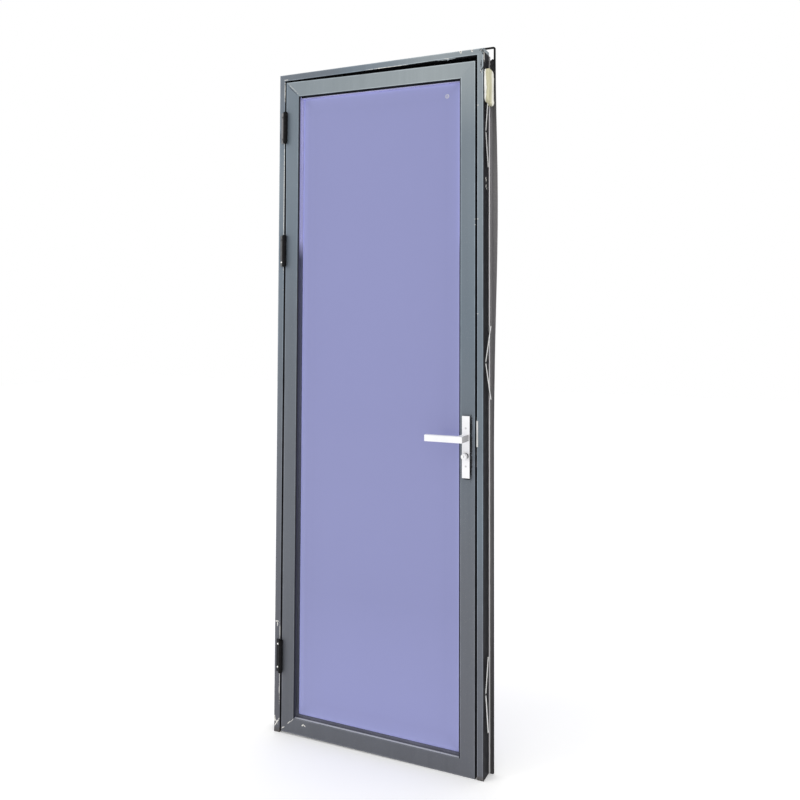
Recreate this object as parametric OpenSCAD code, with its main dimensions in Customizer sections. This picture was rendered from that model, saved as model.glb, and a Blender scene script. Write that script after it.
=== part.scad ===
// Single glass door in its aluminium frame, hung on the left and opening towards the viewer.
// X runs across the door, Y from the front face to the back, Z up from the floor.
// Depths are counted from the front face of the frame, insets from the outline inwards.

/* [Frame] */
// Width of the frame without its fixing flange
frame_w = 700; // [620:10:1000]
// Height of the frame at the hinge side
frame_h = 2100; // [2000:10:2400]
// Depth of the frame profile
frame_depth = 50; // [49:0.5:60]
// Width of the frame profile seen from the front
frame_face = 20; // [18:0.5:26]
// Wall of the hollow frame profile
frame_wall = 1.6; // [1.2:0.1:2]
// How much higher the racked head sits at the lock side
head_rise = 3; // [0:0.5:6]
// Reach of the rear stop into the doorway
stop_reach = 18; // [15:0.5:18.5]
// Thickness of the rear stop
stop_t = 3; // [2:0.5:3]
// Width of the fixing flange round the outside
flange_w = 12.5; // [10:0.5:16]
// Thickness of the fixing flange
flange_t = 2; // [1.5:0.5:3]
// Width of the bright ledge beside the flange
ledge_w = 4; // [3:0.5:6]
// How far the ledge stands in front of the flange
ledge_t = 1; // [0.5:0.5:2]
// Length of flange cut away below each top corner
flange_notch = 25; // [15:1:40]
// Length of head flange cut away at each top corner
head_notch = 10; // [5:1:20]
// Width of the two nicks in the top edge of the head
nick_w = 3; // [1:0.5:5]
// Depth of the two nicks below the top edge
nick_drop = 4; // [2:0.5:6]

/* [Leaf] */
// Gap between the leaf and the hinge jamb
hinge_gap = 4.5; // [4:0.5:6]
// Gap between the leaf and the lock jamb
lock_gap = 5; // [4.5:0.5:7]
// Gap below the leaf at the hinge side
floor_gap = 6; // [6:0.5:12]
// Gap above the leaf at the hinge side
head_gap = 5.5; // [4:0.5:8]
// How far the sagging leaf has dropped at the lock side
leaf_drop = 5.5; // [0:0.5:5.5]
// Width of the leaf profile seen from the front
leaf_face = 49; // [46:0.5:60]
// Depth of the leaf profile
leaf_depth = 44; // [40:0.5:44]
// Wall of the hollow leaf profile
leaf_wall = 1.8; // [1.4:0.1:2]
// Width of the main chamber of the leaf profile
chamber_w = 39; // [39:0.5:42]
// Depth of the front lip that holds the glass
lip_depth = 14; // [11:0.5:16]
// Gap between the rear of the leaf and the stop
seal_gap = 3; // [2:0.5:3]

/* [Glazing] */
// Thickness of the glass
glass_t = 8; // [6:1:10]
// Gap round the edge of the glass
glass_gap = 4; // [3:0.5:5]
// Thickness of the front gasket
front_gasket_t = 6; // [4:0.5:7]
// Width of gasket that shows past the lip
gasket_show = 6; // [3:0.5:8]
// Thickness of the rear gasket
rear_gasket_t = 3; // [2:0.5:4]
// Length of each setting block
block_l = 100; // [60:5:150]

/* [Hinges] */
// Height of each hinge
hinge_h = 100; // [90:2:120]
// Outer radius of the knuckles
knuckle_r = 7; // [6:0.5:8]
// Radius of the hinge pins
pin_r = 3.5; // [2.5:0.5:4]
// Thickness of the hinge plates on the jamb
hinge_plate_t = 3; // [2:0.5:4]
// Thickness of the leaf plates in the hinge gap
leaf_plate_t = 2.5; // [2:0.1:2.8]
// Width of the frame plate on the jamb
frame_plate_w = 12; // [11:0.5:14]
// Depth that the leaf plates reach into the hinge gap
leaf_plate_w = 24; // [16:1:30]
// Height of the top hinge's middle below the top of the frame
hinge_top_below = 175; // [150:5:250]
// Distance from the top hinge to the middle hinge
hinge_pair = 400; // [200:10:600]
// Height of the bottom hinge's middle above the floor
hinge_bottom_z = 240; // [180:5:320]
// Height of the leaf's own knuckle
leaf_knuckle_h = 35; // [25:1:45]

/* [Lock] */
// Distance from the edge of the leaf to the lever axis
backset = 27; // [26:0.5:27.5]
// Height of the lever axis above the floor
handle_z = 966; // [900:2:1100]
// Distance from the lever axis down to the cylinder
cylinder_below = 53; // [52:0.5:60]
// Radius of the lock cylinder
cylinder_r = 8.5; // [7.5:0.5:8.5]
// Radius of the turning plug
plug_r = 6; // [4.5:0.5:6.5]
// How far the cylinder stands out from the front plate
cylinder_proud = 18; // [6:1:20]
// Height and depth of the two bolts
bolt_size = 14; // [10:0.5:14]
// Distance from the lever axis up to the lock bolt
lock_bolt_above = 24; // [22:0.5:25]
// Distance from the lever axis down to the dead bolt
dead_bolt_below = 35; // [30:0.5:35]
// Thickness of the lock case
case_t = 22; // [18:1:26]
// Thickness of the faceplate on the edge of the leaf
faceplate_t = 1.5; // [1:0.5:2]
// Width of the faceplate
faceplate_w = 20; // [18:1:24]
// Thickness of the strike plate
strike_t = 1.2; // [0.8:0.2:1.4]

/* [Handle] */
// Width of each handle plate
plate_w = 23.4; // [22:0.2:24]
// Thickness of each handle plate
plate_t = 7; // [5:0.5:9]
// Height of the handle plate above the lever axis
plate_above = 62; // [50:1:80]
// Height of the handle plate below the lever axis
plate_below = 117; // [100:1:140]
// Side of the square lever bar
lever_size = 18.6; // [14:0.2:19]
// Thickness of the lever arm
arm_t = 14; // [10:0.5:18]
// Length of the lever from neck to free end
lever_l = 117; // [90:1:140]
// Distance from the plate to the face of the lever
lever_reach = 55; // [45:1:65]
// Side of the square spindle
spindle_side = 8; // [6:0.5:8]
// Radius of the lock's hub
hub_r = 7; // [6.5:0.5:8]
// Distance from the lever axis up to the upper handle bolt
upper_bolt = 26.7; // [26:0.1:30]
// Distance from the lever axis down to the lower handle bolt
lower_bolt = 83; // [75:1:95]

/* [Fixing straps] */
// Width of each strap
strap_w = 8.5; // [8:0.5:20]
// Thickness of each strap
strap_t = 1.5; // [1:0.5:3]
// Half height of the flat that is screwed to the jamb
strap_flat = 6; // [5:1:20]
// Height from the middle of the strap to each end
strap_arm = 106; // [90:1:130]
// How far the ends of the lock side's middle strap stand off
strap_out = 15; // [8:0.5:20]
// How far the ends of the other straps stand off
strap_out_low = 7; // [4:0.5:12]
// Radius of the fixing hole near each end
strap_hole_r = 2.1; // [1.8:0.1:2.4]
// Distance of the fixing hole from the end
strap_hole_in = 16; // [10:1:24]
// Depth of the straps' middle line behind the front face
strap_depth = 17; // [14:0.5:26]
// Height of the top straps' middle below the top of the frame
strap_top_below = 240.5; // [230:0.5:300]
// Height of the middle straps above the floor
strap_middle_z = 1182.5; // [1160:0.5:1300]
// Height of the bottom straps above the floor
strap_bottom_z = 236; // [180:1:300]

/* [Foam and edging] */
// Height of the foam lump
foam_h = 107; // [80:1:120]
// Distance from the top of the frame down to the foam
foam_below = 57; // [42:1:65]
// How far the foam stands out from the side of the jamb
foam_out = 18.5; // [14:0.5:26]
// Width of the edging on the flange
strip_w = 14; // [10:0.5:16]
// How far the edging stands out past the flange
strip_past = 2.2; // [1:0.2:4]
// Thickness of the edging
strip_t = 2; // [1:0.5:3]
// Width of the edging's thin turn round the top corner
strip_thin = 6; // [2.5:0.5:7]
// Height at which the edging starts to bow outwards
bow_start = 930; // [600:10:1200]
// How far the edging has slipped out at the top
bow_slip = 5.5; // [0:0.5:8]
// Height of the bow in the edging
bow_swell = 8.5; // [0:0.5:12]

/* [Fasteners] */
// Radius of the screw shanks
screw_r = 1.9; // [1.5:0.1:2]
// Radius of the screw heads
head_r = 2.9; // [2.6:0.1:3]
// Thickness of the screw heads
head_t = 0.8; // [0.5:0.1:1]

/* [Hidden] */
$fn = 48;
// Clearances of a running fit, of a loose seat and of pieces that move past each other
fit = 0.05;
seat = 0.2;
clear = 0.3;
// Length by which a cut runs past the solid it opens
over = 5;

// Doorway and leaf outline
jamb_in = frame_w / 2 - frame_face;
leaf_x0 = -jamb_in + hinge_gap;
leaf_x1 = jamb_in - lock_gap;
leaf_across = leaf_x1 - leaf_x0;
leaf_h = frame_h - frame_face - head_gap - floor_gap;
leaf_tilt = leaf_drop / leaf_across;
leaf_mid = leaf_depth / 2;
stop_front = leaf_depth + seal_gap;
flange_front = frame_depth - flange_t;
notch_slope = 0.58;
nicks_in = [36, 72];
nick_run = 14;

// Glazing stack, from the lip to the rear of the leaf
glass_front = lip_depth + front_gasket_t;
glass_back = glass_front + glass_t;
bead_front = glass_back + rear_gasket_t;
glass_edge = chamber_w + glass_gap;
bead_wall = 1.5;
block_w = 8;
seal_in = 8;
seal_w = 7;

// Corner cleats
frame_cleat_l = 32;
leaf_cleat_l = 80;
cleat_wall = 5;

// Hinge axis and heights
axis_in = 1.5;
barrel_gap = 1;
knuckle_gap = 0.5;
tab_in = 2.5;
cap_r = knuckle_r - 2;
cap_t = 2;
axis_x = leaf_x0 + axis_in;
axis_depth = -(knuckle_r + barrel_gap);
hinge_top_z = frame_h - hinge_top_below;
hinge_middle_z = hinge_top_z - hinge_pair;
hinge_zs = [hinge_top_z, hinge_middle_z, hinge_bottom_z];
frame_knuckle_h = (hinge_h - leaf_knuckle_h) / 2 - knuckle_gap;
frame_plate_x0 = -jamb_in - frame_plate_w;
frame_plate_x1 = axis_x - knuckle_r - clear;
leaf_plate_x0 = leaf_x0 - leaf_plate_t;
leaf_plate_front = 1;
frame_screw_x = (frame_plate_x0 + frame_plate_x1) / 2;
leaf_screw_depth = (leaf_plate_front + leaf_plate_w) / 2;
hinge_screw_zs = [for (z = hinge_zs) for (s = [-1, 1]) z + s * (hinge_h / 2 - 14)];
screw_hole_r = screw_r + seat;
screw_run = 8;

// Lock positions
lock_x = leaf_x1 - backset;
cylinder_z = handle_z - cylinder_below;
lock_bolt_z = handle_z + lock_bolt_above;
dead_bolt_z = handle_z - dead_bolt_below;
bolt_front = leaf_x1 + faceplate_t - 0.5;
lock_bolt_back = lock_x + 5;
dead_bolt_back = lock_x - 4;
case_x0 = leaf_x1 - chamber_w + leaf_wall + clear;
case_x1 = leaf_x1 - leaf_wall - clear;
case_z0 = cylinder_z - cylinder_r - 4.5;
case_z1 = lock_bolt_z + bolt_size / 2 + 9;
faceplate_z0 = case_z0 - 20;
faceplate_z1 = case_z1 + 18;
faceplate_screw_zs = [faceplate_z0 + 8, faceplate_z1 - 8];
strike_z0 = lock_bolt_z - 50;
strike_z1 = lock_bolt_z + 25;
strike_lip = 3.5;
strike_reach = leaf_mid + 12;
strike_screw_zs = [strike_z0 + 12, strike_z1 - 8];
handle_bolt_r = 2;
handle_bolt_zs = [handle_z + upper_bolt, handle_z - lower_bolt];
bolt_hole_r = handle_bolt_r + seat;
cylinder_hole_r = cylinder_r + seat;
spindle_hole_r = spindle_side / sqrt(2) + clear;
rear_proud = 9;
cylinder_front = -(plate_t + cylinder_proud);
cylinder_rear = leaf_depth + plate_t + rear_proud;
plug_rear = cylinder_rear + 0.5;
key_slot = [1.6, 8, 6];
turn_disc = 4;
turn_r = 13;
turn_w = 7;
turn_reach = 14;
socket_deep = 20;
spindle_end = -(plate_t + socket_deep);

// Straps, foam and edging
strap_top_z = frame_h - strap_top_below;
strap_zs = [strap_top_z, strap_middle_z, strap_bottom_z];
foam_z1 = frame_h - foam_below;
foam_z0 = foam_z1 - foam_h;
foam_edge_r = 3;
foam_slant = 11;
foam_rear = frame_depth - flange_t - ledge_t - 1;
strip_x = frame_w / 2 + flange_w + strip_past;
strip_lap = 2;
strip_top = flange_w + strip_thin - strip_lap;
strip_corner_r = strip_thin + 1.5;
strip_bottom = 1;
bow_steps = 14;

paint = "#6f7982";
dark = "#26272a";
bright = "#d8d8d6";

// Shared shapes
function y_at(depth) = depth - frame_depth / 2;
function unit(v) = v / norm(v);

// Corners of the frame outline, inset by u: bottom left, bottom right, top right, top left
function frame_corners(u) =
    let (x = frame_w / 2 - u)
    [[-x, 0], [x, 0], [x, frame_h + head_rise - u], [-x, frame_h - u]];

// Corners of the sagging leaf, inset by u, in the same order
function leaf_corners(u) =
    let (
        rail = u * sqrt(1 + leaf_tilt * leaf_tilt),
        near = floor_gap - u * leaf_tilt,
        far = floor_gap - (leaf_across - u) * leaf_tilt
    )
    [
        [leaf_x0 + u, near + rail], [leaf_x1 - u, far + rail],
        [leaf_x1 - u, far + leaf_h - rail], [leaf_x0 + u, near + leaf_h - rail]
    ];

// Mitred strip between two nested outlines along one side
function side_strip(outer, inner, i) = [outer[i], outer[(i + 1) % 4], inner[(i + 1) % 4], inner[i]];
function lengthened(q, run) =
    let (a = unit(q[1] - q[0]) * run, b = unit(q[2] - q[3]) * run)
    [q[0] - a, q[1] + a, q[2] + b, q[3] - b];

module slab(points, d0, d1) {
    translate([0, y_at(d1), 0]) rotate([90, 0, 0]) linear_extrude(d1 - d0) polygon(points);
}

module box_at(x0, x1, d0, d1, z0, z1) {
    translate([x0, y_at(d0), z0]) cube([x1 - x0, d1 - d0, z1 - z0]);
}

module bar_y(x, z, r, d0, d1) {
    translate([x, y_at(d1), z]) rotate([90, 0, 0]) cylinder(r = r, h = d1 - d0);
}

module bar_x(depth, z, r, x0, x1) {
    translate([x0, y_at(depth), z]) rotate([0, 90, 0]) cylinder(r = r, h = x1 - x0);
}

// Pan head screw pointing into the door from depth d
module screw_y(x, z, d) {
    bar_y(x, z, head_r, d - head_t, d);
    bar_y(x, z, screw_r, d, d + screw_run);
}

// Pan head screw along X whose head seats at x and whose shank runs the way of dir
module screw_x(depth, z, x, dir) {
    translate([x, y_at(depth), z]) rotate([0, dir * 90, 0]) {
        translate([0, 0, -head_t]) cylinder(r = head_r, h = head_t);
        cylinder(r = screw_r, h = screw_run);
    }
}

// Frame profiles: 1 is the lock jamb, 2 the head, 3 the hinge jamb
module frame_run(i, u0, u1, d0, d1) {
    slab(side_strip(frame_corners(u0), frame_corners(u1), i), d0, d1);
}

module frame_long(i, u0, u1, d0, d1, run) {
    slab(lengthened(side_strip(frame_corners(u0), frame_corners(u1), i), run), d0, d1);
}

// Hollow bar with its rear stop, cut to its mitres and to the floor
module frame_bar(i) {
    stop_in = frame_face + stop_reach;
    intersection() {
        frame_run(i, -over, stop_in + over, -over, frame_depth + over);
        difference() {
            union() {
                frame_long(i, 0, frame_face, 0, frame_depth, over);
                frame_long(i, frame_face - frame_wall, stop_in, stop_front, stop_front + stop_t, over);
            }
            frame_long(i, frame_wall, frame_face - frame_wall, frame_wall, frame_depth - frame_wall, 2 * over);
        }
    }
}

module jamb_flange() {
    x0 = frame_w / 2 - frame_wall;
    x1 = frame_w / 2 + flange_w;
    z0 = frame_h - flange_notch;
    slab([[x0, 0], [x1, 0], [x1, z0 + notch_slope * flange_w], [x0, z0]], flange_front, frame_depth);
    box_at(x0, frame_w / 2 + ledge_w, flange_front - ledge_t, frame_depth, 0, frame_h - head_notch);
}

module strap_screw_holes() {
    for (z = strap_zs) bar_x(strap_depth, z, screw_hole_r, frame_w / 2 - over, frame_w / 2 + over);
}

module hinge_jamb() color(paint) {
    difference() {
        union() {
            frame_bar(3);
            mirror([1, 0, 0]) jamb_flange();
        }
        mirror([1, 0, 0]) strap_screw_holes();
        for (z = hinge_screw_zs) bar_y(frame_screw_x, z, screw_hole_r, -over, over);
    }
}

module lock_jamb() color(paint) {
    difference() {
        union() {
            frame_bar(1);
            jamb_flange();
        }
        strap_screw_holes();
        for (z = strike_screw_zs) bar_x(leaf_mid, z, screw_hole_r, jamb_in - over, jamb_in + over);
        for (z = [lock_bolt_z, dead_bolt_z]) bolt_room(jamb_in - over, jamb_in + over, z, 3 * clear);
    }
}

module head() color(paint) {
    difference() {
        union() {
            frame_bar(2);
            intersection() {
                frame_run(2, -flange_w, frame_wall, flange_front, frame_depth);
                box_at(head_notch - frame_w / 2, frame_w / 2 - head_notch, 0, frame_depth,
                    0, frame_h + head_rise + flange_w + over);
            }
        }
        for (x = nicks_in) {
            top = frame_h + head_rise * (1 - x / frame_w);
            box_at(frame_w / 2 - x - nick_w / 2, frame_w / 2 - x + nick_w / 2, -over, nick_run,
                top - nick_drop, top + over);
        }
    }
}

module frame_corner_cleats() color(bright) {
    for (i = [1, 2]) {
        side = i == 1 ? 1 : -1;
        intersection() {
            for (k = [i, i + 1]) {
                frame_run(k, frame_wall + clear, frame_face - frame_wall - clear,
                    frame_wall + clear, frame_depth - frame_wall - clear);
            }
            translate([side * frame_w / 2, 0, frame_h]) {
                cube([2 * frame_cleat_l, 2 * frame_depth, 2 * frame_cleat_l], center = true);
            }
        }
    }
}

module frame_seal() color(dark) {
    for (i = [1, 2, 3]) {
        frame_run(i, frame_face + seal_in, frame_face + seal_in + seal_w, leaf_depth + clear, stop_front);
    }
}

// Room for a bolt at height z, wider than the bolt by gap on each side
module bolt_room(x0, x1, z, gap) {
    half = bolt_size / 2 + gap;
    box_at(x0, x1, leaf_mid - half, leaf_mid + half, z - half, z + half);
}

module strike_plate() color(bright) {
    x0 = jamb_in - strike_t;
    difference() {
        union() {
            box_at(x0, jamb_in, -strike_t, strike_reach, strike_z0, strike_z1);
            box_at(x0, jamb_in + strike_lip, -strike_t, 0, strike_z0, strike_z1);
        }
        bolt_room(x0 - over, jamb_in + over, lock_bolt_z, 3 * clear);
        for (z = strike_screw_zs) bar_x(leaf_mid, z, screw_hole_r, x0 - over, jamb_in + over);
    }
}

module strike_screws() color(bright) {
    for (z = strike_screw_zs) screw_x(leaf_mid, z, jamb_in - strike_t, 1);
}

// Bent strap on the side of the lock jamb, its ends standing off by out
module strap(z, out) {
    half = strap_w / 2;
    hole_z = strap_arm - strap_hole_in;
    t = strap_t;
    difference() {
        translate([frame_w / 2, 0, z]) slab(
            [
                [0, -strap_flat], [0, strap_flat], [out, strap_arm], [out + t, strap_arm],
                [t, strap_flat], [t, -strap_flat], [out + t, -strap_arm], [out, -strap_arm]
            ],
            strap_depth - half, strap_depth + half
        );
        bar_x(strap_depth, z, screw_hole_r, frame_w / 2 - over, frame_w / 2 + t + over);
        for (s = [-1, 1]) {
            bar_x(strap_depth, z + s * hole_z, strap_hole_r, frame_w / 2, frame_w / 2 + out + t + over);
        }
    }
}

module lock_strap(i, out) color(bright) strap(strap_zs[i], out);
module hinge_strap(i) color(bright) mirror([1, 0, 0]) strap(strap_zs[i], strap_out_low);

module strap_screws() color(bright) {
    for (z = strap_zs) {
        for (side = [0, 1]) {
            mirror([side, 0, 0]) screw_x(strap_depth, z, frame_w / 2 + strap_t, -1);
        }
    }
}

// Round beads whose hull makes a soft lump that ends higher at the front
module foam_beads(x0, x1, d0, d1) {
    r = foam_edge_r;
    hull() {
        for (x = [x0 + r, x1 - r]) {
            for (end = [[d0 + r, foam_slant], [d1 - r, 0]]) {
                for (z = [foam_z0 + end[1] + r, foam_z1 - r]) {
                    translate([x, y_at(end[0]), z]) sphere(r = r, $fn = 20);
                }
            }
        }
    }
}

module foam_lump() color("#dddacb") {
    x0 = frame_w / 2;
    difference() {
        foam_beads(x0 + clear, x0 + foam_out, 0, foam_rear);
        // Pocket where the foam has set round the end of the top strap
        box_at(x0, x0 + strap_out_low + strap_t + clear,
            strap_depth - strap_w / 2 - clear, strap_depth + strap_w / 2 + clear,
            foam_z0 - over, strap_top_z + strap_arm + clear);
    }
}

// How far the edging has moved outwards at height z
function bow(z) =
    let (t = max(0, (z - bow_start) / (frame_h - bow_start)))
    bow_slip * t + bow_swell * pow(sin(180 * pow(t, 1.3)), 2);

module edge_strip() color("#4e4d50") {
    notch_z = frame_h - flange_notch;
    top = frame_h + head_rise + strip_top;
    bend_x = strip_x + bow(frame_h) - strip_corner_r;
    bend_z = top - strip_corner_r;
    rises = [for (k = [0:bow_steps]) bow_start + (notch_z - bow_start) * k / bow_steps];
    turn = [for (a = [0:15:90]) [cos(a), sin(a)]];
    inner_r = strip_corner_r - strip_thin;
    slab(
        concat(
            [[strip_x, strip_bottom]],
            [for (z = rises) [strip_x + bow(z), z]],
            [for (p = turn) [bend_x, bend_z] + strip_corner_r * p],
            [[-frame_w / 2, frame_h + strip_top], [-frame_w / 2, frame_h + strip_top - strip_thin]],
            [for (k = [len(turn) - 1:-1:0]) [bend_x, bend_z] + inner_r * turn[k]],
            [[strip_x + bow(notch_z) - strip_thin, notch_z + notch_slope * flange_w]],
            [for (k = [bow_steps:-1:0]) [strip_x + bow(rises[k]) - strip_w, rises[k]]],
            [[strip_x - strip_w, strip_bottom]]
        ),
        frame_depth, frame_depth + strip_t
    );
}

// Hinges
module knuckle(z0, h) {
    translate([axis_x, y_at(axis_depth), z0]) cylinder(r = knuckle_r, h = h);
}

module pin_bore(z) {
    translate([axis_x, y_at(axis_depth), z - hinge_h]) cylinder(r = pin_r + fit, h = 2 * hinge_h);
}

module hinge_frame_half(z) color(dark) {
    half = hinge_h / 2;
    difference() {
        union() {
            box_at(frame_plate_x0, frame_plate_x1, -hinge_plate_t, 0, z - half, z + half);
            for (z0 = [z - half, z + half - frame_knuckle_h]) {
                box_at(frame_plate_x0, axis_x - tab_in, -hinge_plate_t, 0, z0, z0 + frame_knuckle_h);
                knuckle(z0, frame_knuckle_h);
            }
        }
        pin_bore(z);
        for (sz = hinge_screw_zs) bar_y(frame_screw_x, sz, screw_hole_r, -over, over);
    }
}

module hinge_leaf_half(z) color(dark) {
    half = hinge_h / 2;
    difference() {
        union() {
            box_at(leaf_plate_x0, leaf_x0, leaf_plate_front, leaf_plate_w, z - half, z + half);
            box_at(leaf_plate_x0, leaf_x0, axis_depth, leaf_plate_w,
                z - leaf_knuckle_h / 2, z + leaf_knuckle_h / 2);
            knuckle(z - leaf_knuckle_h / 2, leaf_knuckle_h);
        }
        pin_bore(z);
        for (sz = hinge_screw_zs) {
            bar_x(leaf_screw_depth, sz, screw_hole_r, leaf_plate_x0 - over, leaf_x0 + over);
        }
    }
}

module hinge_pin(z) color("#3a3b3e") {
    translate([axis_x, y_at(axis_depth), z - hinge_h / 2]) {
        cylinder(r = pin_r, h = hinge_h);
        translate([0, 0, hinge_h]) cylinder(r = cap_r, h = cap_t);
    }
}

module hinge_frame_screws() color(bright) {
    for (z = hinge_screw_zs) screw_y(frame_screw_x, z, -hinge_plate_t);
}

module hinge_leaf_screws() color(bright) {
    for (z = hinge_screw_zs) screw_x(leaf_screw_depth, z, leaf_plate_x0, 1);
}

// Leaf profiles: 0 is the bottom rail, 1 the lock stile, 2 the top rail, 3 the hinge stile
module leaf_run(i, u0, u1, d0, d1) {
    slab(side_strip(leaf_corners(u0), leaf_corners(u1), i), d0, d1);
}

module leaf_long(i, u0, u1, d0, d1, run) {
    slab(lengthened(side_strip(leaf_corners(u0), leaf_corners(u1), i), run), d0, d1);
}

// Main chamber with the hollow lip in front of the glass, cut to its mitres
module leaf_bar(i) {
    intersection() {
        leaf_run(i, -over, leaf_face + over, -over, leaf_depth + over);
        difference() {
            union() {
                leaf_long(i, 0, chamber_w, 0, leaf_depth, over);
                leaf_long(i, chamber_w - leaf_wall, leaf_face, 0, lip_depth, over);
            }
            leaf_long(i, leaf_wall, chamber_w - leaf_wall, leaf_wall, leaf_depth - leaf_wall, 2 * over);
            leaf_long(i, chamber_w, leaf_face - leaf_wall, leaf_wall, lip_depth - leaf_wall, 2 * over);
        }
    }
}

module hinge_stile() color(paint) {
    difference() {
        leaf_bar(3);
        for (z = hinge_screw_zs) bar_x(leaf_screw_depth, z, screw_hole_r, leaf_x0 - over, leaf_x0 + over);
    }
}

// Holes for the spindle, the cylinder and the handle bolts, right through the leaf
module lock_holes() {
    bar_y(lock_x, handle_z, spindle_hole_r, -plate_t - over, leaf_depth + plate_t + over);
    bar_y(lock_x, cylinder_z, cylinder_hole_r, -plate_t - over, leaf_depth + plate_t + over);
    for (z = handle_bolt_zs) bar_y(lock_x, z, bolt_hole_r, -plate_t - over, leaf_depth + plate_t + over);
}

module lock_stile() color(paint) {
    difference() {
        leaf_bar(1);
        lock_holes();
        for (z = [lock_bolt_z, dead_bolt_z]) bolt_room(leaf_x1 - over, leaf_x1 + over, z, clear);
        for (z = faceplate_screw_zs) bar_x(leaf_mid, z, screw_hole_r, leaf_x1 - over, leaf_x1 + over);
    }
}

module top_rail() color(paint) leaf_bar(2);
module bottom_rail() color(paint) leaf_bar(0);

// Elbow inside one corner of the leaf, thinner and shorter by cut
module leaf_elbow(k, cut, d0, d1) {
    reach = 2 * (leaf_cleat_l - cut);
    corner = leaf_corners(0)[k];
    intersection() {
        for (i = [(k + 3) % 4, k]) {
            leaf_run(i, leaf_wall + clear + cut, chamber_w - leaf_wall - clear - cut, d0, d1);
        }
        translate([corner[0], 0, corner[1]]) cube([reach, 4 * leaf_depth, reach], center = true);
    }
}

module leaf_corner_cleats() color(bright) {
    for (k = [0:3]) {
        difference() {
            leaf_elbow(k, 0, leaf_wall + clear, leaf_depth - leaf_wall - clear);
            leaf_elbow(k, cleat_wall, 0, leaf_depth);
        }
    }
}

// Flat ring between two insets of the leaf outline
module leaf_ring(u0, u1, d0, d1) {
    difference() {
        slab(leaf_corners(u0), d0, d1);
        slab(leaf_corners(u1), d0 - over, d1 + over);
    }
}

module glass_pane() color("#9699c6") slab(leaf_corners(glass_edge), glass_front, glass_back);
module front_gasket() color(dark) {
    leaf_ring(chamber_w + clear, leaf_face + gasket_show, lip_depth, glass_front);
}
module rear_gasket() color(dark) leaf_ring(chamber_w + clear, leaf_face + 1, glass_back, bead_front);

module bead(i) color(paint) {
    difference() {
        leaf_run(i, chamber_w, leaf_face, bead_front, leaf_depth);
        leaf_long(i, chamber_w + bead_wall, leaf_face - bead_wall, bead_front + bead_wall,
            leaf_depth - bead_wall, over);
    }
}

module setting_blocks() color(dark) {
    mid = (glass_front + glass_back) / 2;
    for (x = [-leaf_across / 4, leaf_across / 4]) {
        intersection() {
            leaf_run(0, chamber_w, glass_edge, mid - block_w / 2, mid + block_w / 2);
            box_at(x - block_l / 2, x + block_l / 2, 0, leaf_depth, 0, frame_h / 2);
        }
    }
}

// Lock and handles
module lock_case() color("#8f9194") {
    half = case_t / 2;
    difference() {
        box_at(case_x0, case_x1, leaf_mid - half, leaf_mid + half, case_z0, case_z1);
        bar_y(lock_x, handle_z, hub_r + fit, -over, leaf_depth + over);
        bar_y(lock_x, cylinder_z, cylinder_hole_r, -over, leaf_depth + over);
        bar_y(lock_x, handle_bolt_zs[0], bolt_hole_r, -over, leaf_depth + over);
        bolt_room(lock_bolt_back - clear, leaf_x1 + over, lock_bolt_z, clear);
        bolt_room(dead_bolt_back - clear, leaf_x1 + over, dead_bolt_z, clear);
    }
}

module lock_faceplate() color(bright) {
    difference() {
        box_at(leaf_x1, leaf_x1 + faceplate_t, leaf_mid - faceplate_w / 2, leaf_mid + faceplate_w / 2,
            faceplate_z0, faceplate_z1);
        for (z = [lock_bolt_z, dead_bolt_z]) bolt_room(leaf_x1 - over, leaf_x1 + over, z, clear);
        for (z = faceplate_screw_zs) bar_x(leaf_mid, z, screw_hole_r, leaf_x1 - over, leaf_x1 + over);
    }
}

module faceplate_screws() color(bright) {
    for (z = faceplate_screw_zs) screw_x(leaf_mid, z, leaf_x1 + faceplate_t, -1);
}

module lock_bolt() color(bright) bolt_bar(lock_bolt_back, lock_bolt_z);
module dead_bolt() color(bright) bolt_bar(dead_bolt_back, dead_bolt_z);
module bolt_bar(x0, z) bolt_room(x0, bolt_front, z, 0);

module cylinder_body() color("#c9c9c6") {
    difference() {
        bar_y(lock_x, cylinder_z, cylinder_r, cylinder_front, cylinder_rear);
        bar_y(lock_x, cylinder_z, plug_r + fit, cylinder_front - over, cylinder_rear + over);
    }
}

module key_plug() color("#b8b8b4") {
    half = key_slot / 2;
    difference() {
        bar_y(lock_x, cylinder_z, plug_r, cylinder_front, plug_rear);
        box_at(lock_x - half[0], lock_x + half[0], cylinder_front - over, cylinder_front + key_slot[1],
            cylinder_z - half[2], cylinder_z + half[2]);
    }
}

module thumb_turn() color("#e6e6e4") {
    bar_y(lock_x, cylinder_z, cylinder_r, plug_rear, plug_rear + turn_disc);
    intersection() {
        bar_y(lock_x, cylinder_z, turn_r, plug_rear, plug_rear + turn_disc + turn_reach);
        box_at(lock_x - turn_w / 2, lock_x + turn_w / 2, plug_rear + turn_disc / 2,
            plug_rear + turn_disc + turn_reach, cylinder_z - turn_r, cylinder_z + turn_r);
    }
}

// Puts a piece of the front on the back of the leaf
module on_back() {
    translate([0, 2 * y_at(leaf_mid), 0]) mirror([0, 1, 0]) children();
}

module handle_plate() {
    difference() {
        box_at(lock_x - plate_w / 2, lock_x + plate_w / 2, -plate_t, 0,
            handle_z - plate_below, handle_z + plate_above);
        lock_holes();
    }
}

module lever() {
    half = lever_size / 2;
    socket = spindle_side / 2 + fit;
    face = -(plate_t + lever_reach);
    difference() {
        union() {
            box_at(lock_x - half, lock_x + half, face, -plate_t - clear, handle_z - half, handle_z + half);
            box_at(lock_x + half - lever_l, lock_x + half, face, face + arm_t,
                handle_z - half, handle_z + half);
        }
        box_at(lock_x - socket, lock_x + socket, spindle_end, over, handle_z - socket, handle_z + socket);
    }
}

module front_handle_plate() color("#eeeeec") handle_plate();
module rear_handle_plate() color("#eeeeec") on_back() handle_plate();
module front_lever() color("#f2f2f0") lever();
module rear_lever() color("#f2f2f0") on_back() lever();

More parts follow.
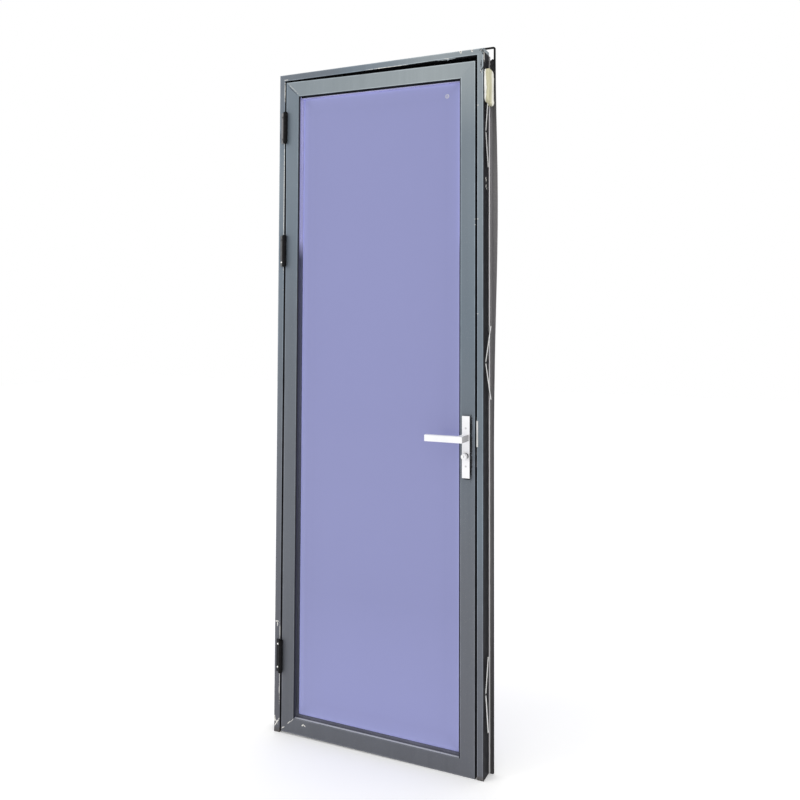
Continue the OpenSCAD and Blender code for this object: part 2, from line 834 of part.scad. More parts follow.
module handle_bolts() color(bright) {
    for (z = handle_bolt_zs) {
        bar_y(lock_x, z, head_r, -plate_t - head_t, -plate_t);
        bar_y(lock_x, z, handle_bolt_r, -plate_t, leaf_depth + plate_t);
    }
}

module spindle() color("#9a9a98") {
    half = spindle_side / 2;
    box_at(lock_x - half, lock_x + half, spindle_end, leaf_depth - spindle_end,
        handle_z - half, handle_z + half);
}

module lock_hub() color("#8a8a88") {
    hole = spindle_side / 2 + fit;
    half = case_t / 2;
    difference() {
        bar_y(lock_x, handle_z, hub_r, leaf_mid - half, leaf_mid + half);
        box_at(lock_x - hole, lock_x + hole, -over, leaf_depth + over, handle_z - hole, handle_z + hole);
    }
}

hinge_jamb();
lock_jamb();
head();
frame_corner_cleats();
frame_seal();
strike_plate();
strike_screws();
lock_strap(0, strap_out_low);  // lock_strap_top
lock_strap(1, strap_out);  // lock_strap_middle
lock_strap(2, strap_out_low);  // lock_strap_bottom
hinge_strap(0);  // hinge_strap_top
hinge_strap(1);  // hinge_strap_middle
hinge_strap(2);  // hinge_strap_bottom
strap_screws();
foam_lump();
edge_strip();
hinge_frame_half(hinge_top_z);  // hinge_top_frame_half
hinge_frame_half(hinge_middle_z);  // hinge_middle_frame_half
hinge_frame_half(hinge_bottom_z);  // hinge_bottom_frame_half
hinge_pin(hinge_top_z);  // hinge_top_pin
hinge_pin(hinge_middle_z);  // hinge_middle_pin
hinge_pin(hinge_bottom_z);  // hinge_bottom_pin
hinge_frame_screws();
hinge_stile();
lock_stile();
top_rail();
bottom_rail();
leaf_corner_cleats();
glass_pane();
front_gasket();
rear_gasket();
bead(0);  // bead_bottom
bead(1);  // bead_lock
bead(2);  // bead_top
bead(3);  // bead_hinge
setting_blocks();
hinge_leaf_half(hinge_top_z);  // hinge_top_leaf_half
hinge_leaf_half(hinge_middle_z);  // hinge_middle_leaf_half
hinge_leaf_half(hinge_bottom_z);  // hinge_bottom_leaf_half
hinge_leaf_screws();
lock_case();
lock_faceplate();
faceplate_screws();
cylinder_body();
front_handle_plate();
rear_handle_plate();
handle_bolts();
front_lever();
rear_lever();
spindle();
lock_hub();
lock_bolt();
key_plug();
thumb_turn();
dead_bolt();
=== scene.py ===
"""Looks of the glass door: finishes, wear, the cured foam, camera and studio."""
import math
from collections import namedtuple

import bpy
from mathutils import Matrix, Vector, noise


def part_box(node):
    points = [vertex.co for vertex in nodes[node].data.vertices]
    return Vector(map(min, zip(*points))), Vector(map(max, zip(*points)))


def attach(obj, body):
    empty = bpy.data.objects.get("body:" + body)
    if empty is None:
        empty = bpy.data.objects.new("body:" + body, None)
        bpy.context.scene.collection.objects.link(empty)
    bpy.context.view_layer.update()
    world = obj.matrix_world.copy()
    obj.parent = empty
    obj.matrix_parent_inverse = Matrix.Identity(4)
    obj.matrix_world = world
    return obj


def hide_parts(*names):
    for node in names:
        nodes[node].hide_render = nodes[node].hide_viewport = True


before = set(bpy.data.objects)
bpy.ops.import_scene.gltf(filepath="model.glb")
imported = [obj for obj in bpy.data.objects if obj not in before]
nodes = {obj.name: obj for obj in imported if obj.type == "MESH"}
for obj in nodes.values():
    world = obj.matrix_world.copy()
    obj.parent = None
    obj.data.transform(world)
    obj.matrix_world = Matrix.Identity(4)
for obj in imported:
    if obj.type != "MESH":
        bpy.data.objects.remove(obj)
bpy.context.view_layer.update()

# Camera, as fitted to the photograph
CAMERA_AT = Vector((1.1316, -2.3066, 1.3152))
CAMERA_YAW = math.radians(23.899)
CAMERA_PITCH = math.radians(2.199)
CAMERA_ROLL = math.radians(0.203)
CAMERA_LENS = 37.35
CAMERA_SENSOR = 36.0
CAMERA_SHIFT = (-0.014, -0.144)
CAMERA_REACH = 100.0

# Light: how strong the sky is, the softbox, and the floor's tone, own light and half size
SKY = 0.95
KEY_AT = Vector((-4.6, -4.2, 3.6))
KEY_AIM = Vector((0.0, 0.0, 1.0))
KEY_SIZE = 3.0
KEY_WATTS = 90.0
FLOOR_TONE = 0.97
FLOOR_GLOW = 0.15
FLOOR_HALF = 12.0

# Places on the door, in metres
LEAF_X0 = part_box("hinge_stile")[0][0]
LEAF_X1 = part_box("lock_stile")[1][0]
FRONT_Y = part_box("lock_stile")[0][1]
LEAF_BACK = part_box("lock_stile")[1][1]
FRAME_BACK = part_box("lock_jamb")[1][1]
FLANGE_W = 0.0125
WALL_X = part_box("lock_jamb")[1][0] - FLANGE_W
DOOR_H = 2.1
HEAD_RISE = 0.003
FRAME_FACE = 0.020
LEAF_FACE = 0.049
LEAF_FOOT = 0.006
LEAF_TOP = 2.0745
LEAF_DROP = 0.0055
LEAF_SAG = LEAF_DROP / (LEAF_X1 - LEAF_X0)
LEDGE_Y = 0.0218
LEDGE_IN = 0.0003
LEDGE_W = 0.0041
# Depth of surface that still counts as the same face, and as the frame's outline
SKIN = 0.0006
OUTLINE_SKIN = SKIN / 3
# How far behind the front face its cracks and chips reach, with the painted shadows and highlights among
# them
MARK_DEPTH = 0.016
# Height where the dark outer side of the jambs ends
SIDE_TOP = DOOR_H - 0.007

# Colours of the frame, 0 to 255
# Pale chips, specks and dust; also the painted highlight lines along the inner edges of the hinge jamb and
# the head
PALE_MARK_AND_HIGHLIGHT = (226, 224, 218)
# Dark of the cracks; also the painted shadow beside and under the handle plate
CRACK_AND_SHADOW = (34, 35, 38)
# Painted shade on the faces inside the gaps between leaf and frame
REBATE_SHADE = (30, 31, 35)
# Painted shade line on the edges of the faces beside the gaps
GAP_SHADE = (20, 21, 26)
SIDE_DARK = (34, 34, 37)
SIDE_SCRAPED = (46, 46, 49)
FOOT_DIRT = (78, 70, 60)
LEDGE = (250, 248, 249)
# Colours of the fittings
STEEL = (222, 222, 220)
BOLT_NICKEL = (222, 222, 222)
STRAP_FACE = (240, 240, 239)
STRAP_EDGE = (70, 70, 72)
COAT_WHITE = (241, 241, 243)
COAT_GRIMY = (206, 206, 206)
COAT_SCRATCHED = (176, 176, 176)
# Painted shade on the sides of the handle plates
PLATE_SIDE_SHADE = (30, 30, 33)
# Painted shade on the lever's end at its neck
LEVER_END_SHADE = (174, 173, 175)
NICKEL = (238, 238, 239)
# Painted shade on the lock cylinder's barrel
NICKEL_SHADE = (24, 24, 26)
HINGE_BLACK = (9, 9, 10)
HINGE_RUBBED = (40, 41, 44)
HINGE_PLATES = {"top": (134, 134, 136), "middle": (104, 106, 108), "bottom": (38, 39, 42)}
SCREW_COATED = (58, 59, 62)
SCREW_BRIGHT = (250, 250, 248)
ETCHED = (206, 204, 202)
FOAM_PORE = (150, 144, 116)

# Gloss of the paint, and of the frame's dull outer side
PAINT_SHINE = 0.2
SIDE_SHINE = 0.05
# How much lighter the painted highlights along the bars' edges and on the torn edge are
EDGE_HIGHLIGHT_LIFT = 1.6
TORN_HIGHLIGHT_LIFT = 1.2
# Dirt at the foot of the jambs: heights where it starts and is full, and its share
FOOT_REACH = (0.016, 0.004)
FOOT_MIX = 0.6
# Distance in half sizes where a mark starts and where it is full
MARK_EDGE = (1.0, 0.75)

# Grey of the paint, from shaded to lit: painted shade and light
PAINT = [(0.0, (90, 91, 97)), (0.3, (99, 103, 110)), (0.45, (106, 117, 127)), (1.0, (143, 151, 154))]
# Level of painted light along each bar: places in metres, across for the bars that lie and up for those that
# stand
LYING_BARS = ("top_rail", "bottom_rail", "head")
BAR_LIGHT_LEVELS = {
    "hinge_stile": [(0.1, 0.12), (0.6, 0.3), (0.9, 0.3), (1.3, 0.36), (1.75, 0.5), (2.0, 0.48)],
    "lock_stile": [(0.1, 0.1), (0.7, 0.32), (1.15, 0.42), (1.85, 0.57), (2.03, 0.9)],
    "top_rail": [(-0.3, 0.72), (0.2, 1.0), (0.3, 0.95)],
    "bottom_rail": [(-0.3, 0.16), (0.3, 0.08)],
    "lock_jamb": [(0.05, 0.12), (0.8, 0.5), (1.3, 0.52), (1.8, 0.68), (2.05, 0.84)],
    "hinge_jamb": [(0.05, 0.0), (0.3, 0.08), (1.0, 0.33), (1.4, 0.42), (1.75, 0.55), (2.05, 0.36)],
    "head": [(-0.3, 0.36), (-0.16, 0.38), (0.05, 0.62), (0.15, 0.84), (0.2, 0.9), (0.29, 0.82)],
}
# Width of the painted shade line on the outer and the inner edge of a bar's face, one number or stops along
# the bar, and of the painted highlight line beside it
GAP_SHADE_LINES = {
    "hinge_stile": ([(1.6, 0.0028), (1.9, 0.0002)], 0.0030),
    "lock_stile": (0.0015, 0.0026),
    "top_rail": ([(-0.3, 0.0002), (-0.05, 0.0018), (0.3, 0.0016)], 0.0004),
    "bottom_rail": (0.0004, 0.0004),
    "lock_jamb": (0.0014, 0.0006),
    "hinge_jamb": (0.0002, [(1.85, 0.0001), (2.05, 0.0016)]),
    "head": (0.0002, [(-0.05, 0.0002), (0.1, 0.0008), (0.26, 0.0024)]),
}
EDGE_HIGHLIGHT_W = 0.0024
# Rubber along the glass, from the bottom up, its top darkened as painted shade, and how far down from the
# leaf's top that goes
GASKET = [(0.055, (98, 99, 112)), (0.085, (72, 74, 84)), (0.6, (78, 80, 92)), (1.5, (84, 86, 110)),
          (1.56, (180, 180, 222)), (2.0, (180, 180, 222))]
TOP_SHADE = [(0.0, (14, 15, 18)), (2.0, (14, 15, 18))]
TOP_SHADE_W = 0.0522
# Inside of the glass opening, painted shade on the sides and top and painted light on the bottom rail: its
# colour near the front, how deep that goes, and its colours deeper
REVEAL_LIGHT_SHADE = {
    "hinge_stile": ((54, 56, 66), 0.007, GASKET),
    "lock_stile": ((40, 42, 52), 0.007, GASKET),
    "top_rail": ((14, 15, 18), 0.007, TOP_SHADE),
    "bottom_rail": ((198, 200, 203), 0.0085, GASKET),
}
# Hidden seals, from the floor up
SEALS = [(0.0, (22, 22, 25)), (2.1, (16, 16, 18))]
# Edging on the flange, from the floor up
EDGING = [(0.0, (52, 50, 53)), (0.6, (80, 78, 81)), (1.2, (104, 102, 104)), (1.75, (126, 124, 124)),
          (1.95, (84, 83, 83)), (2.06, (28, 28, 29)), (2.10, (3, 3, 3))]
# Flange: tones outwards from the frame's outline, and its light and the ledge's from the floor up
FLANGE_TONES = [(0.0038, (70, 68, 70)), (0.0064, (77, 75, 77)), (0.0076, (142, 140, 141)),
                (0.0104, (138, 136, 137)), (0.0116, (86, 84, 86)), (0.0125, (90, 88, 89))]
FLANGE_LIGHT = [(0.1, 0.35), (0.6, 0.72), (1.0, 0.82), (1.9, 1.0), (2.06, 0.2)]
LEDGE_LIGHT = [(0.1, 0.7), (1.0, 1.0), (1.98, 1.0), (2.05, 0.4)]
# Pale specks and a worn strip on the outer side of the lock jamb,
# each (y, z, half depth, half height, turn in degrees)
SIDE_SPECKS = [(-0.0055, 1.7215, 0.0022, 0.0055, -35), (-0.0015, 1.7165, 0.0022, 0.0060, -35),
               (-0.0035, 1.6990, 0.0022, 0.0065, -30), (0.0030, 1.6930, 0.0020, 0.0040, 0),
               (-0.0215, 2.0780, 0.0045, 0.0170, 0)]

# Marks on the front, among them painted highlight and painted shadow, each (x, z, half width, half height,
# turn in degrees)
CHIPS_AND_HIGHLIGHTS = {
    "lock_jamb": [(0.3326, 1.9355, 0.0014, 0.0018, 0), (0.3320, 1.6006, 0.0020, 0.0008, 0),
                  (0.3320, 1.3242, 0.0020, 0.0007, 0), (0.3420, 2.0350, 0.0007, 0.0060, -22)],
    "hinge_jamb": [(-0.3425, 0.3450, 0.0062, 0.0020, -8), (-0.3405, 0.3370, 0.0018, 0.0075, 0),
                   (-0.3395, 0.0310, 0.0020, 0.0160, 34), (-0.3440, 0.0350, 0.0017, 0.0120, -36),
                   # The thin lines at x near -0.332, along the jamb's inner edge, are painted highlight
                   (-0.3478, 0.0400, 0.0018, 0.0120, 0), (-0.3325, 0.1330, 0.0010, 0.0130, 0),
                   (-0.3316, 2.0450, 0.0010, 0.0420, 0), (-0.3318, 0.3130, 0.0008, 0.0330, 0),
                   (-0.3318, 0.1500, 0.0006, 0.0600, 0), (-0.3318, 1.7000, 0.0009, 0.2600, 0)],
    # The thin pale lines just above the head's lower edge are painted highlight
    "head": [(0.3418, 2.0974, 0.0030, 0.0010, 10), (0.2360, 2.0850, 0.0100, 0.0008, 8),
             (-0.3300, 2.0840, 0.0120, 0.0010, 0), (0.3140, 2.1000, 0.0034, 0.0056, 0),
             (0.2780, 2.1000, 0.0034, 0.0056, 0), (0.0320, 2.0828, 0.0660, 0.0008, 0),
             (0.0073, 2.0828, 0.0060, 0.0013, 0)],
    "hinge_stile": [(-0.3165, 0.0185, 0.0070, 0.0018, -30), (-0.2960, 0.0370, 0.0085, 0.0013, -44)],
    "bottom_rail": [(-0.2860, 0.0450, 0.0085, 0.0015, -44), (-0.2450, 0.0385, 0.0052, 0.0019, -40),
                    (-0.2385, 0.0380, 0.0052, 0.0017, 38)],
    "lock_stile": [(0.3235, 1.5842, 0.0012, 0.0010, 0), (0.3235, 1.6006, 0.0012, 0.0008, 0)],
    "top_rail": [(-0.2995, 2.0512, 0.0310, 0.0004, 44)],
}
CRACKS_AND_SHADOWS = {
    "lock_jamb": [(0.3422, 2.0580, 0.0016, 0.0120, 4), (0.3478, 2.0440, 0.0015, 0.0110, 18),
                  (0.3464, 2.0880, 0.0016, 0.0060, -25), (0.3428, 2.0385, 0.0014, 0.0090, 25),
                  (0.3452, 2.0965, 0.0026, 0.0065, -20)],
    "hinge_jamb": [(-0.3440, 0.0240, 0.0016, 0.0090, 30), (-0.3475, 1.9000, 0.0009, 0.0200, 0)],
    "head": [(0.3390, 2.0980, 0.0024, 0.0034, 30), (0.3452, 2.0965, 0.0026, 0.0065, -20)],
    # On the lock stile these are painted shadow beside and under the handle plate
    "lock_stile": [(0.3120, 0.9980, 0.0042, 0.0360, 0), (0.3122, 0.9500, 0.0040, 0.0420, 0),
                   (0.3120, 0.8880, 0.0036, 0.0480, 0), (0.3000, 0.8462, 0.0130, 0.0026, 0)],
    "hinge_stile": [(-0.3010, 2.0460, 0.0250, 0.0009, 44)],
}

# Glass: tint, and how much shows through it
GLASS_RGB = (143, 146, 191)
GLASS_CLEAR = 0.1
# Painted light on the glass near the opening's edges, by the distance from the edge, as shares of a gain,
# because a ramp ends at 1
GLASS_EDGE_LIGHT = [(0.006, 0.75), (0.0115, 0.65), (0.015, 0.59), (0.022, 0.55), (0.032, 0.52), (0.05, 0.5)]
GLASS_EDGE_LIGHT_GAIN = 2.0
# Painted light on the glass beside the hinge stile and at the foot: from, to, and the factor it starts with
GLASS_HINGE_LIGHT = (0.006, 0.026, 1.25)
GLASS_LOW_LIGHT = (0.12, 0.45, 1.13)
# Etched mark: its place and unit, and in units the soft edges of its ring and its dot
STAMP = (0.228, 1.977)
STAMP_UNIT = 0.001
STAMP_OUTSIDE = (7.0, 6.0)
STAMP_INSIDE = (2.8, 3.8)
STAMP_DOT = (2.0, 1.2)

# Share of the lock cylinder's length in front of the plate that is darkened as painted shade
BARREL_SHADE = 0.42
# Hinge plates on the jamb: how far they start beside the leaf, and how proud they are
HINGE_PLATE_BESIDE = 0.0058
HINGE_PLATE_PROUD = 0.0032
# Heights of the hinge screws that are still bright: below the first, and between the two others
BRIGHT_BELOW = 0.5
BRIGHT_BETWEEN = (1.45, 1.5)

# Foam: share of its skin that faces front, and its colours from the jamb round to its back
FOAM_FRONT = 0.45
FOAM_TONES = [(0.0, (250, 250, 247)), (0.16, (248, 247, 241)), (0.21, (198, 194, 164)),
              (0.66, (206, 202, 172)), (0.74, (240, 238, 226)), (1.0, (246, 245, 236))]
# Foam mesh: rows and points round, how square it is, the fall of its ends, and how near points are welded
FOAM_ROWS = 60
FOAM_ROUND = 72
FOAM_SQUARE = 8.0
FOAM_SLANT = 0.011
FOAM_FALL = 0.003
FOAM_WELD = 0.00005
# Dips of the foam: depth, plain share, and shares and noise scales of its ridges and its lumps
FOAM_DIP = 0.0026
DIP_PLAIN = 0.4
DIP_RIDGE = 0.5
DIP_LUMP = 0.7
RIDGE_SCALE = (260, 200, 22)
LUMP_SCALE = (70, 70, 95)
LUMP_SHIFT = Vector((0, 0, 7))
# Foam that doesn't dip: against the jamb, and at its closed ends
FOAM_AT_JAMB = -0.9
FOAM_AT_END = 0.01

# Torn lower edge of the head: from, to and steps along X, how its ends fade, its thickness, bend and root
TORN_X0 = 0.204
TORN_X1 = 0.262
TORN_STEPS = 40
TORN_FADE = 0.008
TORN_T = 0.0006
TORN_BEND = 0.35
TORN_ROOT = 0.001
# Depth of the torn edge, its ripples by height and radians per metre, and the burr's place and size
TORN_HANG = 0.0006
TORN_RIPPLES = [(0.0005, 260), (0.0003, 610)]
BURR_X = 0.2375
BURR_W = 0.0035
BURR_HANG = 0.0034

# Rounded edges: radius and the pieces that have it, and how the edges are found
SOFT_EDGES = [
    (0.0009, ["front_lever", "rear_lever"]),
    (0.0006, ["front_handle_plate", "rear_handle_plate", "thumb_turn"]),
    (0.0003, ["cylinder_body", "strike_plate", "lock_bolt", "dead_bolt"]),
    (0.0004, ["lock_jamb", "hinge_jamb", "head", "hinge_stile", "lock_stile", "top_rail", "bottom_rail"]),
]
EDGE_SEGMENTS = 2
EDGE_ANGLE = math.radians(40)
FLAT_ANGLE = math.radians(1)
WELD_NEAR = 0.00001

# Patterns of noise: scale, detail, stretch along the axes, the part of the noise in use, and what it gives
Pattern = namedtuple("Pattern", "scale detail stretch used gives")
EVEN = (1, 1, 1)
MIDDLE = (0.3, 0.7)
RAGGED = Pattern(420.0, 2.0, EVEN, MIDDLE, (-0.45, 0.45))
PAINT_CLOUD = Pattern(5.0, 4.0, (1, 1, 0.25), MIDDLE, (0.94, 1.06))
PAINT_STREAK = Pattern(60.0, 3.0, (1, 1, 0.02), MIDDLE, (0.96, 1.04))
PAINT_DUST = Pattern(900.0, 1.0, EVEN, (0.72, 0.78), (0.0, 0.35))
EDGE_HIGHLIGHT_BREAKUP = Pattern(25.0, 4.0, EVEN, (0.35, 0.65), (0.4, 0.95))
PAINT_ROUGH = Pattern(40.0, 4.0, EVEN, MIDDLE, (0.42, 0.56))
FOOT_DRIFT = Pattern(120.0, 3.0, EVEN, MIDDLE, (-0.006, 0.006))
SIDE_SCRAPE = Pattern(30.0, 6.0, (1, 1, 0.15), (0.60, 0.70), (0.0, 0.45))
FLANGE_SMEAR = Pattern(18.0, 5.0, (1, 1, 0.12), (0.35, 0.65), (0.8, 1.2))
LEDGE_DIRT = Pattern(50.0, 5.0, (1, 1, 0.1), MIDDLE, (0.94, 1.0))
METAL_LINES = Pattern(180.0, 4.0, EVEN, MIDDLE, (0.84, 1.08))
METAL_DULL = Pattern(35.0, 4.0, EVEN, (0.4, 0.7), (1.0, 0.8))
STEEL_ROUGH = Pattern(60.0, 4.0, EVEN, MIDDLE, (0.28, 0.46))
BOLT_ROUGH = Pattern(60.0, 4.0, EVEN, MIDDLE, (0.27, 0.45))
STRAP_SPANGLE = Pattern(240.0, 4.0, (1, 1, 0.3), MIDDLE, (0.85, 1.06))
STRAP_ROUGH = Pattern(60.0, 4.0, EVEN, MIDDLE, (0.42, 0.6))
COAT_GRIME = Pattern(40.0, 5.0, EVEN, (0.45, 0.75), (0.0, 0.2))
COAT_SCRATCH = Pattern(90.0, 3.0, (1, 1, 0.08), (0.70, 0.73), (0.0, 0.3))
COAT_ROUGH = Pattern(70.0, 4.0, EVEN, MIDDLE, (0.28, 0.42))
NICKEL_WEAR = Pattern(120.0, 4.0, EVEN, MIDDLE, (0.86, 1.06))
NICKEL_ROUGH = Pattern(60.0, 4.0, EVEN, MIDDLE, (0.3, 0.45))
HINGE_RUB = Pattern(140.0, 5.0, EVEN, (0.58, 0.72), (0.0, 0.5))
HINGE_SMEAR = Pattern(60.0, 5.0, EVEN, MIDDLE, (0.8, 1.12))
HINGE_ROUGH = Pattern(80.0, 4.0, EVEN, MIDDLE, (0.5, 0.68))
SCREW_WEAR = Pattern(300.0, 3.0, EVEN, MIDDLE, (0.85, 1.1))
SCREW_ROUGH = Pattern(90.0, 3.0, EVEN, MIDDLE, (0.3, 0.5))
RUBBER_DUST = Pattern(300.0, 4.0, EVEN, (0.55, 0.8), (1.0, 1.4))
RUBBER_WAVE = Pattern(12.0, 4.0, (1, 1, 0.2), MIDDLE, (0.82, 1.15))
RUBBER_ROUGH = Pattern(200.0, 3.0, EVEN, MIDDLE, (0.55, 0.75))
GLASS_CLOUD = Pattern(1.6, 3.0, EVEN, MIDDLE, (0.985, 1.015))
GLASS_SPECK = Pattern(700.0, 2.0, EVEN, (0.4, 0.6), (0.4, 0.9))
GLASS_ROUGH = Pattern(3.0, 3.0, EVEN, MIDDLE, (0.05, 0.09))
FOAM_DRIFT = Pattern(60.0, 4.0, (1, 1, 0.3), MIDDLE, (-0.06, 0.06))
FOAM_STREAK = Pattern(160.0, 4.0, (1, 1, 0.1), (0.35, 0.65), (0.8, 1.06))
FOAM_PORES = Pattern(700.0, 2.0, EVEN, (0.62, 0.7), (0.0, 0.4))

# Fine relief: scale, detail and stretch of its noise, its strength, and its depth in metres
Relief = namedtuple("Relief", "scale detail stretch strength depth")
PAINT_PEEL = Relief(1500.0, 2.0, EVEN, 0.06, 0.0004)
METAL_GRAIN = Relief(260.0, 4.0, EVEN, 0.08, 0.0003)
COAT_PEEL = Relief(900.0, 2.0, EVEN, 0.04, 0.0003)
NICKEL_TURNED = Relief(300.0, 3.0, (1, 0.1, 1), 0.06, 0.0003)
HINGE_GRAIN = Relief(700.0, 3.0, EVEN, 0.1, 0.0003)
RUBBER_GRAIN = Relief(800.0, 3.0, EVEN, 0.12, 0.0004)
FOAM_GRAIN = Relief(260.0, 5.0, EVEN, 0.5, 0.0012)
# Stretch of a metal's grain along the height and along the depth
GRAIN_UP = (1, 1, 0.1)
GRAIN_DEEP = (1, 0.1, 1)


def linear(rgb):
    """Scene colour of an sRGB colour given from 0 to 255."""
    parts = [c / 255 for c in rgb]
    return tuple(c / 12.92 if c <= 0.04045 else ((c + 0.055) / 1.055) ** 2.4 for c in parts) + (1.0,)


class Graph:
    """Short calls that build one material's nodes."""

    def __init__(self, name):
        self.mat = bpy.data.materials.new(name)
        self.mat.use_nodes = True
        self.tree = self.mat.node_tree
        self.shader = self.tree.nodes["Principled BSDF"]
        self.place = self.add("ShaderNodeTexCoord").outputs["Object"]
        split = self.add("ShaderNodeSeparateXYZ")
        self.put(split.inputs[0], self.place)
        self.x, self.y, self.z = split.outputs

    def add(self, kind):
        return self.tree.nodes.new(kind)

    def put(self, socket, value):
        """Links an output to a socket, or sets a plain value on it."""
        if isinstance(value, bpy.types.NodeSocket):
            self.tree.links.new(value, socket)
        else:
            socket.default_value = value

    def set(self, **values):
        """Sets or links the shader's own sockets, named with underscores."""
        for name, value in values.items():
            self.put(self.shader.inputs[name.replace("_", " ")], value)

    def math(self, op, a, b=0.0):
        node = self.add("ShaderNodeMath")
        node.operation = op
        self.put(node.inputs[0], a)
        self.put(node.inputs[1], b)
        return node.outputs[0]

    def plus(self, a, b):
        return self.math("ADD", a, b)

    def minus(self, a, b):
        return self.math("SUBTRACT", a, b)

    def times(self, *factors):
        """Product of factors, or of masks: on where all of them are."""
        product = factors[0]
        for factor in factors[1:]:
            product = self.math("MULTIPLY", product, factor)
        return product

    def either(self, a, b):
        """Larger of two values, or a mask that is on where one of two is."""
        return self.math("MAXIMUM", a, b)

    def above(self, value, limit):
        return self.math("GREATER_THAN", value, limit)

    def below(self, value, limit):
        return self.math("LESS_THAN", value, limit)

    def between(self, value, low, high, out_low=0.0, out_high=1.0):
        """Value mapped from low..high to out_low..out_high, clamped."""
        node = self.add("ShaderNodeMapRange")
        for socket, number in zip(node.inputs[1:5], (low, high, out_low, out_high)):
            socket.default_value = number
        self.put(node.inputs[0], value)
        return node.outputs[0]

    def noise(self, source):
        """Noise of a pattern or a relief, drawn out along the axes with a small stretch."""
        place = self.add("ShaderNodeMapping")
        place.inputs["Scale"].default_value = source.stretch
        self.put(place.inputs["Vector"], self.place)
        node = self.add("ShaderNodeTexNoise")
        node.inputs["Scale"].default_value = source.scale
        node.inputs["Detail"].default_value = source.detail
        self.put(node.inputs["Vector"], place.outputs[0])
        return node.outputs["Fac"]

    def vary(self, pattern):
        """What a pattern of noise gives."""
        return self.between(self.noise(pattern), *pattern.used, *pattern.gives)

    def carve(self, relief):
        """Puts a fine relief on the shader's surface."""
        node = self.add("ShaderNodeBump")
        node.inputs["Strength"].default_value = relief.strength
        node.inputs["Distance"].default_value = relief.depth
        self.put(node.inputs["Height"], self.noise(relief))
        self.put(self.shader.inputs["Normal"], node.outputs[0])

    def mix(self, factor, a, b):
        """Colour a turning into colour b; a Mix node holds its colours in sockets 6 and 7."""
        node = self.add("ShaderNodeMix")
        node.data_type = "RGBA"
        self.put(node.inputs["Factor"], factor)
        self.put(node.inputs[6], a)
        self.put(node.inputs[7], b)
        return node.outputs[2]

    def shade(self, colour, factor):
        """Colour made lighter or darker by a factor."""
        node = self.add("ShaderNodeVectorMath")
        node.operation = "SCALE"
        self.put(node.inputs[0], colour if isinstance(colour, bpy.types.NodeSocket) else colour[:3])
        self.put(node.inputs["Scale"], factor)
        return node.outputs[0]

    def ramp(self, value, stops):
        """Colours or numbers along a value, each stop a value and a colour or a number."""
        low, high = stops[0][0], stops[-1][0]
        tones = [linear(tone) if isinstance(tone, tuple) else (tone, tone, tone, 1.0) for _, tone in stops]
        node = self.add("ShaderNodeValToRGB")
        points = node.color_ramp.elements
        points[0].color = tones[0]
        points[1].color = tones[-1]
        for (at, _), tone in list(zip(stops, tones))[1:-1]:
            points.new((at - low) / (high - low)).color = tone
        self.put(node.inputs[0], self.between(value, low, high))
        return node.outputs[0]

    def reach(self, centre, half, turn=0.0, on_side=False):
        """Distance from a point in half sizes: in X and Z on the front, in Y and Z on the side."""
        place = self.add("ShaderNodeMapping")
        place.vector_type = "TEXTURE"
        angle = math.radians(turn)
        place.inputs["Location"].default_value = (0.0, *centre) if on_side else (centre[0], 0.0, centre[1])
        place.inputs["Rotation"].default_value = (angle, 0.0, 0.0) if on_side else (0.0, angle, 0.0)
        place.inputs["Scale"].default_value = (1.0, *half) if on_side else (half[0], 1.0, half[1])
        self.put(place.inputs["Vector"], self.place)
        length = self.add("ShaderNodeVectorMath")
        length.operation = "LENGTH"
        self.put(length.inputs[0], place.outputs[0])
        return length.outputs["Value"]

    def marks(self, spots, on_side=False):
        """Mask of several ragged elliptic marks on the front or on the side."""
        ragged = self.vary(RAGGED)
        mask = 0.0
        for across, up, half_across, half_up, turn in spots:
            reach = self.reach((across, up), (half_across, half_up), turn, on_side)
            mask = self.either(mask, self.between(self.plus(reach, ragged), *MARK_EDGE))
        return mask


def along_bar(g, bar, value):
    """Value that is one number, or follows its stops along the bar."""
    if not isinstance(value, list):
        return value
    return g.ramp(g.x if bar in LYING_BARS else g.z, value)


def leaf_line(g, level):
    """Height of a line that starts at a level beside the hinges and falls with the sagging leaf."""
    return g.minus(level, g.times(g.minus(g.x, LEAF_X0), LEAF_SAG))


def opening_inset(g):
    """Distance inside the glass opening from its nearest edge."""
    sides = [
        g.minus(g.x, LEAF_X0 + LEAF_FACE),
        g.minus(LEAF_X1 - LEAF_FACE, g.x),
        g.minus(g.z, leaf_line(g, LEAF_FOOT + LEAF_FACE)),
        g.minus(leaf_line(g, LEAF_TOP - LEAF_FACE), g.z),
    ]
    nearest = sides[0]
    for side in sides[1:]:
        nearest = g.math("MINIMUM", nearest, side)
    return nearest


def jamb_out(g):
    """Distance outside the frame's outline beside a jamb."""
    return g.minus(g.math("ABSOLUTE", g.x), WALL_X)


def head_out(g):
    """Distance outside the frame's outline above the head."""
    return g.minus(g.z, g.between(g.x, -WALL_X, WALL_X, DOOR_H, DOOR_H + HEAD_RISE))


def painted(g, bar):
    """Colour of a bar's grey satin paint, lighter and darker along the bar as painted light and shade, with
    clouds, streaks and specks of dust.
    """
    # The tone along the bar is painted light and shade
    colour = g.ramp(along_bar(g, bar, BAR_LIGHT_LEVELS[bar]), PAINT)
    colour = g.shade(colour, g.times(g.vary(PAINT_CLOUD), g.vary(PAINT_STREAK)))
    return g.mix(g.vary(PAINT_DUST), colour, linear(PALE_MARK_AND_HIGHLIGHT))


